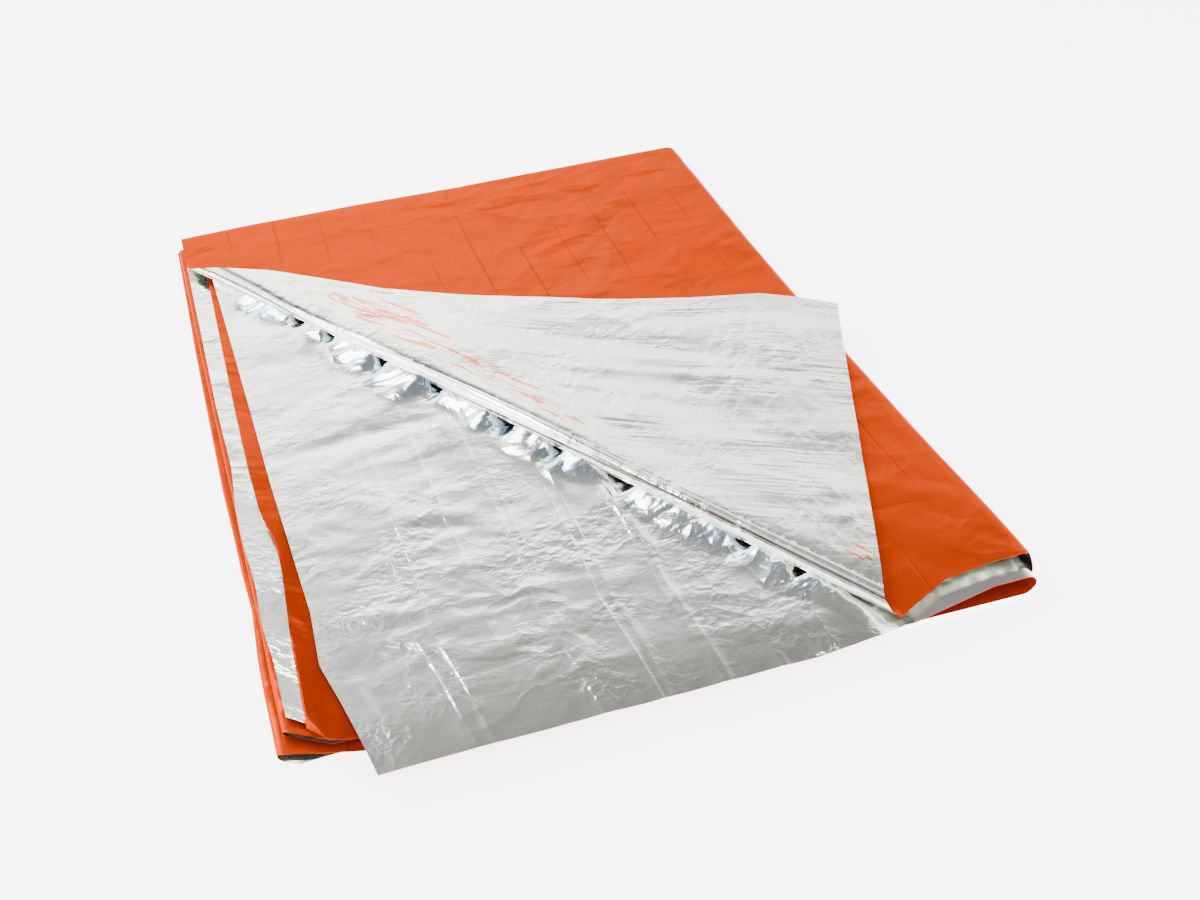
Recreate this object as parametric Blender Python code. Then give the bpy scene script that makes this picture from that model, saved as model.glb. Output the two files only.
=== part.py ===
"""An emergency foil blanket, folded to an eighth and laid flat, with one corner of its top layer
turned back.  Metres, +Z up; the origin is in the middle of the underside, on the surface it lies on.

The blanket is one sheet of metallised film, orange on one face and silver on the other, so it is one
closed solid.  It is made the way it is packed: the flat sheet is folded end to end with the silver
inside, then side to side, then end to end again, and last the near left corner of the top layer is
rolled back over the pack.  Sheet places are (u, v, w): u along its length, v across its width and w
through it, from the silver face to the orange face.  Pack places are x from the left edge, y from the
near edge and z up from the surface.
"""

import bmesh
import bpy
import numpy as np

INCH = 0.0254
MM = 0.001

# The cut sheet, 84 x 56 inches, and the pack, which is a quarter of its length by half its width.
SHEET_LENGTH = 84 * INCH
SHEET_WIDTH = 56 * INCH
PANEL_LENGTH = SHEET_LENGTH / 4
PANEL_WIDTH = SHEET_WIDTH / 2

THICKNESS = 1.2 * MM
GAP = 2.2 * MM  # between neighbouring layers

# Each fold wraps what the folds before it made: its middle radius, and the stack's half height.
END_FOLD_RADIUS = (GAP + THICKNESS) / 2
END_FOLD_HALF = END_FOLD_RADIUS + THICKNESS / 2
SIDE_FOLD_RADIUS = END_FOLD_HALF + GAP / 2
SIDE_FOLD_HALF = SIDE_FOLD_RADIUS + END_FOLD_HALF
LAST_FOLD_RADIUS = SIDE_FOLD_HALF + GAP / 2
PACK_HALF = LAST_FOLD_RADIUS + SIDE_FOLD_HALF

# The turned-back corner: its crease runs from the left edge to the near edge of the top layer.
CREASE_LEFT_Y = 650 * MM  # where the crease meets the left edge
CREASE_NEAR_X = 411 * MM  # where the crease meets the near edge
CREASE_NEAR_Y = -13 * MM
ROLL_RADIUS = 7.5 * MM  # of the roll along the crease, at its middle
ROLL_END_SHARE = 0.45  # the roll's radius at its two ends, as a share of the middle's
ROLL_LENGTH = np.pi * ROLL_RADIUS  # the width of sheet that the roll takes up
FLAP_REST = 2 * THICKNESS + GAP  # how high the flap's upper face lies over the top layer's lower one
FLAP_SLOPE_RUN = 130 * MM  # the flap comes down from the roll to rest over this distance
FLAP_EDGE_REACH = 110 * MM  # how far a sway of the flap's edge is felt

# How high the pack stands at its corners, as a share of its layers and gaps.
RISE_NEAR_LEFT = 1.1
RISE_NEAR_RIGHT = 1.05
RISE_FAR_LEFT = 0.85
RISE_FAR_RIGHT = 0.85
SWELL = 1.6 * MM  # the slow waves in the pack's upper layers
SWELL_WAVES = 2.3  # of them across the pack
GAPE = 8 * MM  # the top layer's extra lift off the second at the near right corner
GAPE_REACH = (240 * MM, 200 * MM)  # how far that lift is felt, leftwards and away

DROOP_START = 3 * MM  # the second layer droops from this far before the third layer's near edge
DROOP_STATION = 3.9  # past this station the third layer's corner is rounded, and isn't followed
DROOP_RUN = 30 * MM  # at this far beyond that
DROOP_DEPTH = 6 * MM  # it hangs this much lower

# Where the near edges of the layers lie, in millimetres from the pack's near line, along the two long
# edges of the sheet.  A station is a distance along the sheet in panels: whole numbers are the folds.
FRONT_EDGE = (
    # station, shift
    (0.00, 5),
    (0.40, -8),
    (0.77, -20),
    (0.81, -10),
    (0.86, 1),
    (0.93, 4),
    (1.00, 4),
    (1.04, 17),
    (1.93, 17),
    (1.98, 16),
    (2.00, 25),
    (2.04, 19),
    (2.10, 8),
    (2.40, -1),
    (3.00, -6),
    (3.08, -6),
    (3.22, -17),
    (3.38, -23),
    (4.00, -24),
)
BACK_EDGE = (
    # station, shift
    (0.00, 43),
    (0.02, 34),
    (0.04, 24),
    (0.10, 15),
    (1.00, 12),
    (1.94, 17),
    (2.00, 36),
    (2.06, 17),
    (3.00, 12),
    (3.90, 5),
    (3.96, 9),
    (3.98, 14),
    (4.00, 26),
)
# The far folded edge isn't square to the sides: shift in millimetres at a share of the way across.
FAR_EDGE = (
    # share, shift
    (0.0, -26),
    (0.13, -17),
    (0.33, -9),
    (0.53, -7),
    (0.75, 1),
    (1.0, 13),
)
# The right folded side, in millimetres, at a share of the way from near to far.
RIGHT_SIDE = (
    # share, shift
    (0.0, -12),
    (0.15, -10),
    (0.4, -8),
    (0.7, -4),
    (1.0, 4),
)
# How far the left ends of the layers stand in from the pack's left line, in millimetres.
LEFT_SIDE = (
    # share far, second layer, third, fourth, upper fold, lower fold
    (0.00, 56, 21, 10, 5, -1),
    (0.08, 45, 22, 9, 4, -2),
    (0.13, 37, 23, 6, 4, -2),
    (0.20, 39, 26, 7, 3, 0),
    (0.26, 37, 27, 4, 2, -2),
    (0.32, 35, 20, 3, 2, -3),
    (0.41, 32, 18, 6, 1, -5),
    (0.56, 29, 17, 3, -1, -6),
    (0.73, 25, 17, 2, -3, -7),
    (1.00, 18, 17, 0, -5, -7),
)
SECOND, THIRD, FOURTH, UPPER_FOLD, LOWER_FOLD = range(1, 6)
# The flap's long free edge sways in and out: millimetres outwards, from the crease to the tip.
FLAP_EDGE = (
    # share, sway
    (0.0, 0),
    (0.08, 6),
    (0.16, 0),
    (0.22, -10),
    (0.35, -29),
    (0.5, -25),
    (0.65, -20),
    (0.79, -8),
    (0.89, 4),
    (0.94, 1),
    (1.0, -6),
)

# The mesh: cells along the sheet in each panel (the top, two hidden and the second layer), cells across
# each half of its width, and steps round each fold.
PANEL_CELLS = (16, 5, 5, 16)
WIDTH_CELLS = (16, 8)
END_FOLD_STEPS = 4
SIDE_FOLD_STEPS = 6
LAST_FOLD_STEPS = 6
ROLL_STEPS = 8
CORNER_LINES = (10 * MM, 22 * MM)  # extra lines beside the sheet's two cut ends
FOLD_LINES = (12 * MM, 32 * MM)  # and beside the end fold

ORANGE = (0.83, 0.17, 0.02, 1.0)
SILVER = (0.78, 0.79, 0.80, 1.0)


def from_table(places, table):
    """Read a table of (place, millimetres) rows at some places, in metres, straight between its rows."""
    stations, values = zip(*table)
    return np.interp(places, stations, values) * MM


def ease(share):
    """A smooth step from 0 to 1."""
    share = np.clip(share, 0.0, 1.0)
    return share * share * (3 - 2 * share)


def bend(run, height, radius):
    """Fold a straight run over on itself.  run is measured from the fold's middle, positive on the upper
    side, and height outwards from the middle radius.  Gives the distance from the folded edge and the
    height above the fold's axis."""
    quarter = np.pi * radius / 2
    straight = np.abs(run) >= quarter
    turn = np.clip(run, -quarter, quarter) / radius
    away = np.where(straight, np.abs(run), quarter - (radius + height) * np.cos(turn))
    return away, (radius + height) * np.sin(turn)


def left_side(column, share_far):
    """How far a layer's left end stands in, at a share of the way from near to far."""
    return from_table(share_far, [(row[0], row[column]) for row in LEFT_SIDE])


def crease_frame():
    """The crease's far left end, its direction, its length, and the direction towards the corner."""
    start = np.array((0.0, CREASE_LEFT_Y))
    along = np.array((CREASE_NEAR_X, CREASE_NEAR_Y)) - start
    length = np.hypot(*along)
    along = along / length
    return start, along, length, np.array((along[1], -along[0]))


def turn_back_corner(x, y, z):
    """Roll the near left corner of the top layer back along the crease.  z is measured up from the
    layer's lower, silver face."""
    start, along, length, outwards = crease_frame()
    share = ((x - start[0]) * along[0] + (y - start[1]) * along[1]) / length
    beyond = (x - start[0]) * outwards[0] + (y - start[1]) * outwards[1]
    bulge = np.sin(np.pi * np.clip(share, 0.0, 1.0))
    radius = ROLL_RADIUS * (ROLL_END_SHARE + (1 - ROLL_END_SHARE) * bulge)
    turn = np.pi * np.clip(beyond / ROLL_LENGTH, 0.0, 1.0)
    back = np.maximum(beyond - ROLL_LENGTH, 0.0)
    settle = ease(back / FLAP_SLOPE_RUN)
    place = np.minimum(beyond, 0.0) + (radius - z) * np.sin(turn) - back
    lifted = radius - (radius - z) * np.cos(turn) - (2 * radius - FLAP_REST) * settle
    moved = place - beyond
    return x + moved * outwards[0], y + moved * outwards[1], lifted


def fold_sheet(u, v, w):
    """Where the points (u, v, w) of the flat sheet lie in the folded pack."""
    first_half = u <= 2 * PANEL_LENGTH  # the half whose cut end is on the top layer
    front = v <= PANEL_WIDTH

    # The flap's free edge is swayed while the sheet is flat.
    down_edge = (CREASE_LEFT_Y - v) / CREASE_LEFT_Y
    sway = from_table(down_edge, FLAP_EDGE) * np.exp(-u / FLAP_EDGE_REACH)
    on_top = first_half & front & (u <= PANEL_LENGTH)
    u_swayed = np.where(on_top, u - sway, u)

    # End to end, side to side, and end to end again.
    from_end_fold, height = bend(2 * PANEL_LENGTH - u_swayed, w - THICKNESS / 2, END_FOLD_RADIUS)
    from_side_fold, height = bend(PANEL_WIDTH - v, height, SIDE_FOLD_RADIUS)
    upper = from_end_fold > PANEL_LENGTH
    from_last_fold, height = bend(from_end_fold - PANEL_LENGTH, height, LAST_FOLD_RADIUS)
    x = PANEL_LENGTH - from_last_fold
    y = PANEL_WIDTH - from_side_fold
    z = height + PACK_HALF

    # Each layer's near edge and left end lie a little out of line.
    across = np.clip(x / PANEL_LENGTH, 0.0, 1.0)
    share_far = np.clip(y / PANEL_WIDTH, 0.0, 1.0)
    station = u / PANEL_LENGTH
    near = np.where(front, from_table(station, FRONT_EDGE), from_table(station, BACK_EDGE))
    y = y + near * (1 - share_far)
    front_ends = np.where(first_half, 0.0, left_side(SECOND, share_far))
    back_ends = np.where(first_half, left_side(FOURTH, share_far), left_side(THIRD, share_far))
    ends = np.where(front, front_ends, back_ends)
    folds = np.where(front, left_side(LOWER_FOLD, share_far), left_side(UPPER_FOLD, share_far))
    x = x + np.where(upper, ends, folds) * (1 - across)

    # The second layer overhangs the third at the near side, and droops there.
    third_edge = from_table(np.minimum(station, DROOP_STATION), BACK_EDGE)
    overhang = np.clip(third_edge - DROOP_START - y, 0.0, None)
    droop = DROOP_DEPTH * (overhang / DROOP_RUN) ** 2
    z = z - np.where(front & ~first_half & upper, droop, 0.0)

    # The corner of the top layer.
    silver_face = 2 * PACK_HALF - THICKNESS
    turned_x, turned_y, turned_z = turn_back_corner(x, y, z - silver_face)
    x, y = np.where(on_top, turned_x, x), np.where(on_top, turned_y, y)
    z = np.where(on_top, turned_z + silver_face, z)

    return shape_pack(x, y, z)


def shape_pack(x, y, z):
    """What the whole pack does at once: its skewed far edge, its right side, its height and swell."""
    across = np.clip(x / PANEL_LENGTH, 0.0, 1.0)
    share_far = np.clip(y / PANEL_WIDTH, 0.0, 1.0)
    near_rise = RISE_NEAR_LEFT + (RISE_NEAR_RIGHT - RISE_NEAR_LEFT) * across**2
    far_rise = RISE_FAR_LEFT + (RISE_FAR_RIGHT - RISE_FAR_LEFT) * across
    rise = near_rise + (far_rise - near_rise) * ease(share_far)
    level = z / (2 * PACK_HALF)
    wave = np.sin(SWELL_WAVES * np.pi * (across + 0.4 * share_far)) * np.sin(2 * np.pi * share_far + 0.6)
    corner = ease(1 - (PANEL_LENGTH - x) / GAPE_REACH[0]) * ease(1 - y / GAPE_REACH[1])
    gape = GAPE * corner * ease((level - 0.86) / 0.12)
    new_z = z * rise + SWELL * wave * np.clip(level, 0.0, 1.0) + gape
    new_x = x + from_table(share_far, RIGHT_SIDE) * across
    new_y = y + from_table(across, FAR_EDGE) * share_far
    return new_x, new_y, new_z


def fold_lines(middle, radius, steps):
    """The lines round a fold, evenly spaced over its half turn."""
    quarter = np.pi * radius / 2
    return np.linspace(middle - quarter, middle + quarter, steps + 1)


def spaced_lines(folds, cells, end):
    """Grid lines over one direction of the sheet: the lines of its folds, and even cells between."""
    lines, start = [], 0.0
    for index, count in enumerate(cells):
        stop = folds[index][0] if index < len(folds) else end
        lines.append(np.linspace(start, stop, count + 1))
        if index < len(folds):
            lines.append(folds[index])
            start = folds[index][-1]
    return np.unique(np.round(np.concatenate(lines), 7))


def grid_lines():
    """The lines along and across the flat sheet."""
    folds = (
        fold_lines(PANEL_LENGTH, LAST_FOLD_RADIUS, LAST_FOLD_STEPS),
        fold_lines(2 * PANEL_LENGTH, END_FOLD_RADIUS, END_FOLD_STEPS),
        fold_lines(3 * PANEL_LENGTH, LAST_FOLD_RADIUS, LAST_FOLD_STEPS),
    )
    u_lines = spaced_lines(folds, PANEL_CELLS, SHEET_LENGTH)
    ends = np.array(CORNER_LINES)
    beside = np.array(FOLD_LINES)
    middle = 2 * PANEL_LENGTH
    extra = (ends, SHEET_LENGTH - ends, middle - beside, middle + beside)
    u_lines = np.unique(np.concatenate((u_lines, *extra)))
    side_fold = (fold_lines(PANEL_WIDTH, SIDE_FOLD_RADIUS, SIDE_FOLD_STEPS),)
    return u_lines, spaced_lines(side_fold, WIDTH_CELLS, SHEET_WIDTH)


def flat_sheet():
    """The sheet laid flat: a grid, with extra lines where the corner rolls back, given its thickness."""
    u_lines, v_lines = grid_lines()
    sheet = bmesh.new()
    grid = [[sheet.verts.new((u, v, 0.0)) for v in v_lines] for u in u_lines]
    for row, next_row in zip(grid, grid[1:]):
        for near, far, next_near, next_far in zip(row, row[1:], next_row, next_row[1:]):
            sheet.faces.new((near, next_near, next_far, far))

    start, _, _, outwards = crease_frame()
    for step in range(ROLL_STEPS + 1):
        place = start + outwards * ROLL_LENGTH * step / ROLL_STEPS
        top_layer = [face for face in sheet.faces if face.calc_center_median().x < PANEL_LENGTH]
        top_layer = [face for face in top_layer if face.calc_center_median().y < PANEL_WIDTH]
        edges = {edge for face in top_layer for edge in face.edges}
        verts = {vert for face in top_layer for vert in face.verts}
        bmesh.ops.bisect_plane(
            sheet,
            geom=top_layer + list(edges) + list(verts),
            plane_co=(place[0], place[1], 0.0),
            plane_no=(outwards[0], outwards[1], 0.0),
            dist=0.5 * MM,
        )

    silver_faces = list(sheet.faces)
    raised = bmesh.ops.extrude_face_region(sheet, geom=silver_faces, use_keep_orig=True)
    orange_verts = [item for item in raised["geom"] if isinstance(item, bmesh.types.BMVert)]
    bmesh.ops.translate(sheet, verts=orange_verts, vec=(0.0, 0.0, THICKNESS))
    return sheet


def make_blanket():
    """The folded blanket, as one object."""
    sheet = flat_sheet()
    bmesh.ops.recalc_face_normals(sheet, faces=sheet.faces)
    bmesh.ops.triangulate(sheet, faces=sheet.faces)
    flat = np.array([vert.co for vert in sheet.verts], dtype=float)
    x, y, z = fold_sheet(flat[:, 0], flat[:, 1], flat[:, 2])
    z = np.where(np.abs(z) < 1e-6, 0.0, z)
    for vert, place in zip(sheet.verts, zip(x - PANEL_LENGTH / 2, y - PANEL_WIDTH / 2, z)):
        vert.co = place
    silver = {face for face in sheet.faces if all(flat[vert.index][2] == 0.0 for vert in face.verts)}
    for face in silver:
        face.material_index = 1

    mesh = bpy.data.meshes.new("blanket")
    sheet.to_mesh(mesh)
    sheet.free()
    mesh.shade_smooth()
    mesh.set_sharp_from_angle(angle=np.radians(60))
    mesh.materials.append(film_material("orange_film", ORANGE, roughness=0.4, metallic=0.0))
    mesh.materials.append(film_material("silver_film", SILVER, roughness=0.25, metallic=1.0))
    blanket = bpy.data.objects.new("blanket", mesh)
    bpy.context.scene.collection.objects.link(blanket)
    return blanket


def film_material(name, colour, roughness, metallic):
    """One face of the film."""
    material = bpy.data.materials.new(name)
    material.use_nodes = True
    shader = material.node_tree.nodes["Principled BSDF"]
    shader.inputs["Base Color"].default_value = colour
    shader.inputs["Roughness"].default_value = roughness
    shader.inputs["Metallic"].default_value = metallic
    return material


def main():
    for scene_object in list(bpy.data.objects):
        bpy.data.objects.remove(scene_object, do_unlink=True)
    make_blanket()


main()
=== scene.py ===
"""An emergency foil blanket: one sheet of metallised film, orange on one face and silver on the other,
folded three times into a flat pack, with the near left corner of its top layer rolled back over it.

The film is meshed flat, where its packing creases are straight lines, and every point of it is then put
through the folds.  Sheet places are (u, v, w): u along the sheet, v across it and w through it, from the
silver face to the orange face.  Pack places are x from the left edge, y from the near edge and z up.
"""

import math

import bmesh
import bpy
import numpy as np
from mathutils import Euler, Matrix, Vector, noise


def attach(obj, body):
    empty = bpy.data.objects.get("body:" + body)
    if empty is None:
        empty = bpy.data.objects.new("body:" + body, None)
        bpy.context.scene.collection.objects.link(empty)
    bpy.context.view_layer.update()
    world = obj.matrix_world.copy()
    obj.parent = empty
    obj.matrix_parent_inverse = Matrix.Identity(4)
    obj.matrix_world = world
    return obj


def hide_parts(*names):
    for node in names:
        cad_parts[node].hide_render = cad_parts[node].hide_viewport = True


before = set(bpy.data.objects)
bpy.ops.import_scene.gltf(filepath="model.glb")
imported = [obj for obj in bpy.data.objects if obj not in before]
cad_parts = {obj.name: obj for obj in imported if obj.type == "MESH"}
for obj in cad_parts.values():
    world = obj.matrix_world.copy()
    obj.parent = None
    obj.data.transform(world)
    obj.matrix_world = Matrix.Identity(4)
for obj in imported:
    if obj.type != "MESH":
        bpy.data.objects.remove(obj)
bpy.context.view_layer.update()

INCH = 0.0254
MM = 0.001

# ---------------------------------------------------------------------------------------------
# The sheet and its folds, in the sizes of the solid that the film replaces
# ---------------------------------------------------------------------------------------------

SHEET_LENGTH = 84 * INCH
SHEET_WIDTH = 56 * INCH
PANEL_LENGTH = SHEET_LENGTH / 4
PANEL_WIDTH = SHEET_WIDTH / 2

SOLID_THICKNESS = 1.2 * MM
SOLID_GAP = 2.2 * MM
PITCH = SOLID_THICKNESS + SOLID_GAP  # from the middle of one layer to the middle of the next
FILM = 0.35 * MM  # the film, drawn a little thicker than it is so that its edges still show

END_FOLD_RADIUS = PITCH / 2
END_FOLD_HALF = END_FOLD_RADIUS + SOLID_THICKNESS / 2
SIDE_FOLD_RADIUS = END_FOLD_HALF + SOLID_GAP / 2
SIDE_FOLD_HALF = SIDE_FOLD_RADIUS + END_FOLD_HALF
LAST_FOLD_RADIUS = SIDE_FOLD_HALF + SOLID_GAP / 2
PACK_HALF = LAST_FOLD_RADIUS + SIDE_FOLD_HALF

CREASE_LEFT_Y = 650 * MM
CREASE_NEAR_X = 411 * MM
CREASE_NEAR_Y = -13 * MM
ROLL_RADIUS = 7.5 * MM
ROLL_END_SHARE = 0.45
ROLL_LENGTH = np.pi * ROLL_RADIUS
FLAP_REST = PITCH + FILM
FLAP_SLOPE_RUN = 130 * MM
FLAP_EDGE_REACH = 110 * MM

RISE_NEAR_LEFT = 1.1
RISE_NEAR_RIGHT = 1.05
RISE_FAR_LEFT = 0.85
RISE_FAR_RIGHT = 0.85
SWELL = 1.6 * MM
SWELL_WAVES = 2.3
GAPE = 8 * MM
GAPE_REACH = (240 * MM, 200 * MM)

DROOP_START = 17 * MM
DROOP_STATION = 3.9
DROOP_RUN = 46 * MM
DROOP_DEPTH = 3.6 * MM

# Near edges of the layers, in millimetres, at stations along the sheet in panels.
FRONT_EDGE = (
    # station, shift
    (0.00, 5),
    (0.40, -8),
    (0.77, -20),
    (0.81, -10),
    (0.86, 1),
    (0.93, 4),
    (1.00, 4),
    (1.04, 17),
    (1.93, 17),
    (1.98, 16),
    (2.00, 25),
    (2.04, 19),
    (2.10, 8),
    (2.40, -1),
    (3.00, -6),
    (3.08, -6),
    (3.22, -17),
    (3.38, -23),
    (4.00, -24),
)
BACK_EDGE = (
    # station, shift
    (0.00, 43),
    (0.02, 34),
    (0.04, 24),
    (0.10, 15),
    (1.00, 12),
    (1.94, 17),
    (2.00, 36),
    (2.06, 17),
    (3.00, 12),
    (3.90, 5),
    (3.96, 9),
    (3.98, 14),
    (4.00, 26),
)
FAR_EDGE = (
    # share across, shift
    (0.0, -26),
    (0.13, -17),
    (0.33, -9),
    (0.53, -7),
    (0.75, 1),
    (1.0, 13),
)
RIGHT_SIDE = (
    # share far, shift
    (0.0, -12),
    (0.15, -10),
    (0.4, -8),
    (0.7, -4),
    (1.0, 4),
)
LEFT_SIDE = (
    # share far, second layer, third, fourth, upper fold, lower fold
    (0.00, 56, 21, 10, 5, -1),
    (0.08, 45, 22, 9, 4, -2),
    (0.13, 37, 23, 6, 4, -2),
    (0.20, 39, 26, 7, 3, 0),
    (0.26, 37, 27, 4, 2, -2),
    (0.32, 35, 20, 3, 2, -3),
    (0.41, 32, 18, 6, 1, -5),
    (0.56, 29, 17, 3, -1, -6),
    (0.73, 25, 17, 2, -3, -7),
    (1.00, 18, 17, 0, -5, -7),
)
SECOND, THIRD, FOURTH, UPPER_FOLD, LOWER_FOLD = range(1, 6)
FLAP_EDGE = (
    # share, sway
    (0.0, 0),
    (0.08, 6),
    (0.16, 0),
    (0.22, -10),
    (0.35, -29),
    (0.5, -25),
    (0.65, -20),
    (0.79, -8),
    (0.89, 4),
    (0.94, 1),
    (1.0, -6),
)

# ---------------------------------------------------------------------------------------------
# Creases: the film was first packed into a packet, which left straight creases across the sheet
# ---------------------------------------------------------------------------------------------

PACKET_CREASES = (
    # They run across the sheet, at every twelfth of a panel less 13 mm from its end.
    # place, ridge height on the second layer, spacing of the ridge's two lines, start and end from near
    (31, 0.35, 0, 200, 560),
    (76, 0.5, 13, -30, 420),
    (121, 0.45, 0, 60, 420),
    (166, 0.7, 8, -30, 330),
    (211, 0.75, 9, -30, 230),
    (256, 1.0, 6, -30, 230),
    (301, 0.6, 0, -30, 120),
    (346, 0.5, 0, -30, 90),
)
CREASE_WIDTH = 3.5 * MM  # over which the ridge of a packing crease falls to about a third
PACKET_REACH = 5 * MM  # over which the film's number for its packing creases falls to 0
PACKET_PITCH = PANEL_LENGTH / 12  # from one packing crease to the next
# Creases of the second layer that fan out from the foot of the roll, in millimetres.
FOOT_CREASES = (
    # x0, y0, x1, y1, width, ridge
    (82, 482, 93, 420, 3.0, 2.2),
    (101, 462, 106, 392, 3.0, 2.4),
    (118, 428, 128, 380, 3.0, 1.8),
    (172, 335, 171, 255, 3.0, 3.0),
    (226, 240, 243, 168, 3.0, 2.4),
    (262, 192, 280, 90, 3.0, 2.0),
    (318, 100, 330, 60, 3.0, 1.8),
    (344, 92, 356, 40, 3.5, 2.6),
    (366, 45, 378, 10, 3.0, 1.6),
)
# Grooves along the roll, as shares of the way round it.
ROLL_GROOVES = (
    # middle, half width
    (0.52, 0.07),
    (0.76, 0.05),
    (1.00, 0.07),
)
# Thin lines along the roll, painted reflections drawn on it, that stand for the dark things it mirrors: the
# grey ceiling, and the edge of the orange.
PAINTED_ROLL_REFLECTIONS = (
    # share of the way round, half width, start and end along the roll, colour
    (0.42, 0.13, -0.10, 0.24, "#7A4030"),
    (0.80, 0.13, -0.14, 0.31, "#1E2125"),
    (1.26, 0.24, -0.14, 0.36, "#3C4145"),
    (0.52, 0.08, 0.30, 0.78, "#331B10"),
    (0.58, 0.13, 0.62, 1.08, "#3E3434"),
    (1.14, 0.24, 0.30, 0.70, "#7C7E7D"),
)
# A painted reflection of the orange side: streaks on the flap's wrinkles near the roll, and one spot low on
# the flap.
ORANGE_REFLECTION_SPOT = (403 * MM, 40 * MM)  # a last spot of the same orange, low on the flap
# How far from the roll the flap's wrinkles take the painted reflection of the orange, at shares of the way
# along the roll.
ORANGE_REFLECTION_REACH = (
    # share, reach
    (0.10, 0),
    (0.16, 14),
    (0.24, 40),
    (0.32, 62),
    (0.40, 50),
    (0.50, 42),
    (0.60, 32),
    (0.68, 0),
)
# How far the crumple reaches out from the roll, at shares of the way along it.
FOOT_REACH = (
    # share, reach
    (0.00, 4),
    (0.06, 22),
    (0.10, 8),
    (0.16, 26),
    (0.22, 12),
    (0.30, 20),
    (0.36, 30),
    (0.43, 34),
    (0.48, 10),
    (0.56, 26),
    (0.64, 28),
    (0.68, 8),
    (0.74, 26),
    (0.82, 22),
    (0.90, 28),
    (0.95, 14),
    (1.00, 4),
)
# Where the film stays down beside the roll, so that the dark space under the roll's side shows.
FOOT_GAPS = (
    # share, half length
    (0.065, 8),
    (0.23, 7),
    (0.285, 6),
    (0.37, 7),
    (0.45, 9),
    (0.55, 11),
    (0.62, 6),
    (0.70, 12),
    (0.84, 7),
    (0.90, 4),
)
# Long creases and troughs of the second layer.
SECOND_LAYER_CREASES = (
    # x0, y0, x1, y1, width, ridge
    (20, 296, 240, 318, 12.0, -1.5),
    (60, 300, 190, 372, 4.0, 0.8),
    (30, 106, 270, 86, 7.0, 0.8),
    (110, 40, 260, 70, 6.0, 0.7),
    (112, 80, 196, 82, 3.5, 0.5),
    (126, 66, 160, 71, 3.0, 0.35),
    (110, 188, 180, 164, 8.0, -1.0),
    (225, 130, 275, 152, 8.0, -1.1),
    (150, 188, 195, 208, 3.0, 0.6),
    (61, 66, 70, -22, 3.0, 0.2),
    (45, 48, 66, -10, 3.0, 0.18),
    (44, 58, 92, 52, 9.0, -0.5),
    (160, -26, 215, -34, 5.0, 1.1),
    (150, 22, 240, 12, 6.0, 0.6),
    (262, 60, 340, 40, 6.0, 0.8),
    (300, 20, 380, -6, 6.0, 0.8),
)
# Long wrinkles of the turned flap, in the same places as the folded pack.
FLAP_CREASES = (
    # x0, y0, x1, y1, width, ridge
    (250, 345, 500, 238, 3.5, 0.9),
    (250, 322, 420, 230, 3.5, 0.8),
    (270, 360, 450, 282, 3.5, 0.6),
    (350, 204, 430, 166, 3.5, 0.7),
    (370, 214, 450, 178, 3.5, 0.6),
    (376, 164, 424, 144, 3.5, 0.6),
    (360, 288, 396, 246, 9.0, -1.0),
    (448, 272, 474, 246, 8.0, -1.0),
    (412, 236, 428, 200, 8.0, -0.9),
    (402, 80, 432, 80, 3.0, 1.8),
    (47, 606, 275, 240, 6.0, -0.9),
    (190, 400, 432, 12, 45.0, -3.4),
    (418, 132, 420, 92, 5.0, 0.9),
    (60, 600, 330, 420, 3.0, 0.7),
)
# Creases of the orange face: packing creases along the panel, and soft ones by the far edge.
ORANGE_CREASES = (
    # x0, y0, x1, y1, width, ridge
    (421, 700, 420, 330, 2.5, 0.45),
    (448, 660, 449, 420, 2.5, 0.4),
    (320, 650, 318, 400, 2.5, 0.4),
    (263, 640, 265, 430, 2.5, 0.4),
    (177, 620, 182, 450, 2.5, 0.35),
    (388, 520, 396, 330, 2.5, 0.35),
    (482, 560, 478, 60, 3.0, 0.45),
    (424, 633, 503, 637, 3.0, 0.5),
    (371, 583, 433, 607, 9.0, 0.5),
    (345, 610, 462, 662, 14.0, -0.8),
    (212, 564, 300, 588, 12.0, -0.7),
    (486, 508, 512, 478, 4.0, 0.9),
    (468, 672, 524, 662, 3.0, 1.1),
    (20, 655, 190, 640, 5.0, 0.5),
    (40, 690, 330, 668, 6.0, 0.4),
    (400, 250, 520, 170, 6.0, 0.5),
    (440, 120, 520, 60, 6.0, 0.5),
)

# ---------------------------------------------------------------------------------------------
# The mesh
# ---------------------------------------------------------------------------------------------

TOP_CELLS = 98  # along the sheet in the top layer, and in the second
HIDDEN_CELLS = 9  # in each of the two panels between
FRONT_CELLS = 138  # across the half of the sheet that the top and second layers are on
BACK_CELLS = 36  # and across the other half
NEAR_CELLS_FINER = 0.24  # how much finer the cells are by the near edge, and coarser by the far fold
END_FOLD_STEPS = 6
SIDE_FOLD_STEPS = 8
LAST_FOLD_STEPS = 8
ROLL_STEPS = 14
CORNER_LINES = (4 * MM, 8 * MM, 13 * MM, 19 * MM)  # added lines, from each end of the sheet
FOLD_LINES = (6 * MM, 14 * MM, 30 * MM)  # and from its middle fold
LINES_APART = 1.5 * MM  # an even line nearer than this to an added one is dropped
CUT_REACH = 12 * MM  # faces this near to a line of the roll are cut along it
CUT_SNAP = 0.3 * MM  # a cut goes through a point that is this near to it
FOLD_FADE = 14 * MM  # over which a layer's relief dies out at a fold
SHARP_ANGLE = math.radians(70)  # between faces, above which the film's edge shades as sharp


def from_table(places, table):
    """Read a table of (place, millimetres) rows at some places, in metres, straight between its rows."""
    stations, values = zip(*table)
    return np.interp(places, stations, values) * MM


def ease(share):
    """A smooth step from 0 to 1."""
    share = np.clip(share, 0.0, 1.0)
    return share * share * (3 - 2 * share)


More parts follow.
